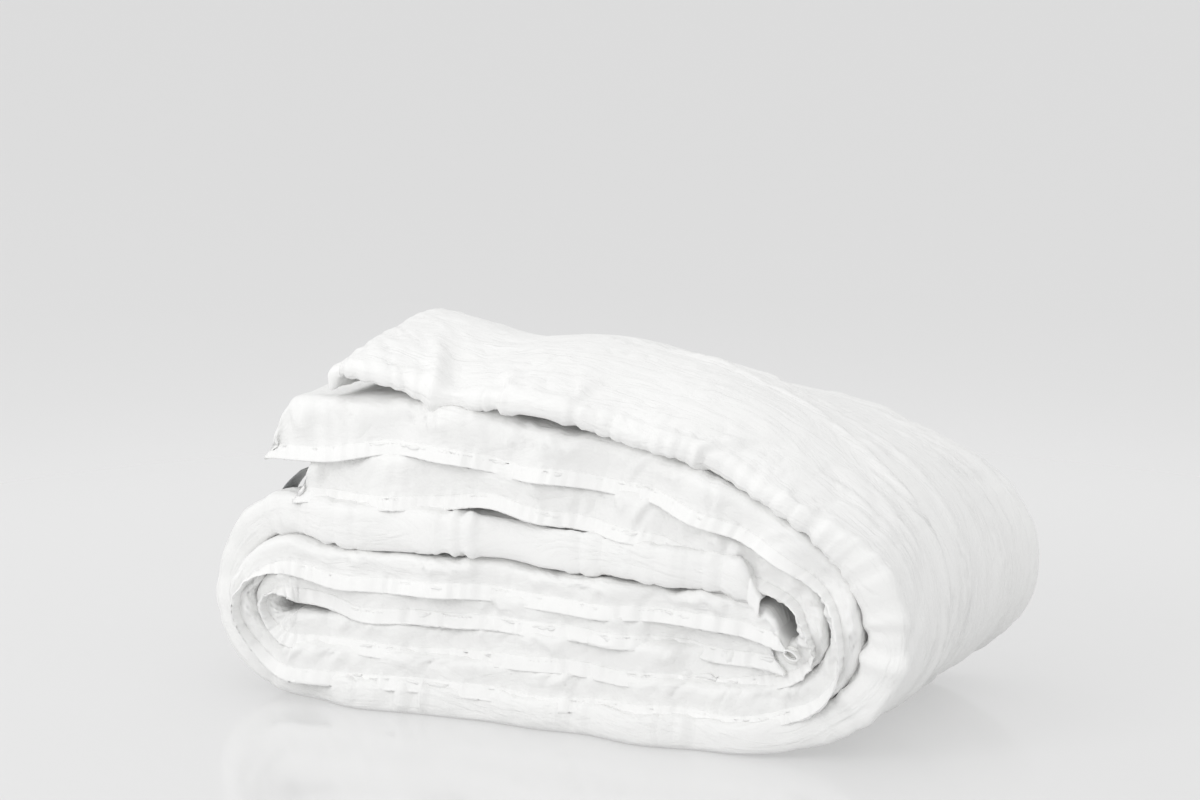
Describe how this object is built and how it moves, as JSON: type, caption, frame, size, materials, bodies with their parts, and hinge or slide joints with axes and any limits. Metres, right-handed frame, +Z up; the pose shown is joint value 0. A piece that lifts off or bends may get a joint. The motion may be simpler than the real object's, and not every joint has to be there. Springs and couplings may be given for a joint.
{
  "type": "folded and rolled duvet",
  "caption": "White down duvet folded lengthwise in four and rolled into a soft oblong bundle, with stitched hems and a loose end that lifts.",
  "frame": {"origin": "middle of the bundle's footprint, on the surface it lies on", "axes": "+X across the roll from the tight left bend to the wide right bend, +Y from the open hems to the folded back, +Z up"},
  "size_m": [0.677, 0.3704, 0.3304],
  "materials": {
    "shell_cotton": "tightly woven matte cotton with a slight sheen",
    "down_fill": "loose down",
    "baffle_tape": "thin woven tape",
    "hem_tape": "stitched cotton band",
    "label_cloth": "satin ribbon, blank",
    "stud_plastic": "smooth white"
  },
  "bodies": {
    "roll": {"corner_loop": "hem_tape", "cross_baffle_lane1_1": "baffle_tape", "cross_baffle_lane1_2": "baffle_tape", "cross_baffle_lane1_3": "baffle_tape", "cross_baffle_lane1_4": "baffle_tape", "cross_baffle_lane2_1": "baffle_tape", "cross_baffle_lane2_2": "baffle_tape", "cross_baffle_lane2_3": "baffle_tape", "cross_baffle_lane2_4": "baffle_tape", "cross_baffle_lane3_1": "baffle_tape", "cross_baffle_lane3_2": "baffle_tape", "cross_baffle_lane3_3": "baffle_tape", "cross_baffle_lane3_4": "baffle_tape", "cross_baffle_lane4_1": "baffle_tape", "cross_baffle_lane4_2": "baffle_tape", "cross_baffle_lane4_3": "baffle_tape", "cross_baffle_lane4_4": "baffle_tape", "down_pocket_lane1_box2": "down_fill", "down_pocket_lane1_box3": "down_fill", "down_pocket_lane1_box4": "down_fill", "down_pocket_lane1_box5": "down_fill", "down_pocket_lane2_box2": "down_fill", "down_pocket_lane2_box3": "down_fill", "down_pocket_lane2_box4": "down_fill", "down_pocket_lane2_box5": "down_fill", "down_pocket_lane3_box2": "down_fill", "down_pocket_lane3_box3": "down_fill", "down_pocket_lane3_box4": "down_fill", "down_pocket_lane3_box5": "down_fill", "down_pocket_lane4_box2": "down_fill", "down_pocket_lane4_box3": "down_fill", "down_pocket_lane4_box4": "down_fill", "down_pocket_lane4_box5": "down_fill", "end_binding_inner_end": "hem_tape", "fold_baffle_1_roll": "baffle_tape", "fold_baffle_2_roll": "baffle_tape", "fold_baffle_3_roll": "baffle_tape", "lower_shell_roll": "shell_cotton", "press_stud_cap": "stud_plastic", "press_stud_socket": "stud_plastic", "side_binding_b_roll": "hem_tape", "side_binding_c_roll": "hem_tape", "upper_shell_roll": "shell_cotton"},
    "loose_end": {"down_pocket_lane1_box1": "down_fill", "down_pocket_lane2_box1": "down_fill", "down_pocket_lane3_box1": "down_fill", "down_pocket_lane4_box1": "down_fill", "end_binding_loose_end": "hem_tape", "fold_baffle_1_loose_end": "baffle_tape", "fold_baffle_2_loose_end": "baffle_tape", "fold_baffle_3_loose_end": "baffle_tape", "lower_shell_loose_end": "shell_cotton", "side_binding_b_loose_end": "hem_tape", "side_binding_c_loose_end": "hem_tape", "upper_shell_loose_end": "shell_cotton"},
    "label": {"care_label": "label_cloth"}
  },
  "joints": [
    {"name": "loose_end_lift", "type": "hinge", "parent": "roll", "child": "loose_end", "pos_m": [0.12169, 0, 0.30767], "axis": [0, 1, 0], "range_deg": [0, 50]},
    {"name": "label_swing", "type": "hinge", "parent": "loose_end", "child": "label", "pos_m": [-0.25697, 0, 0.21208], "axis": [0, 1, 0], "range_deg": [0, 95]}
  ]
}
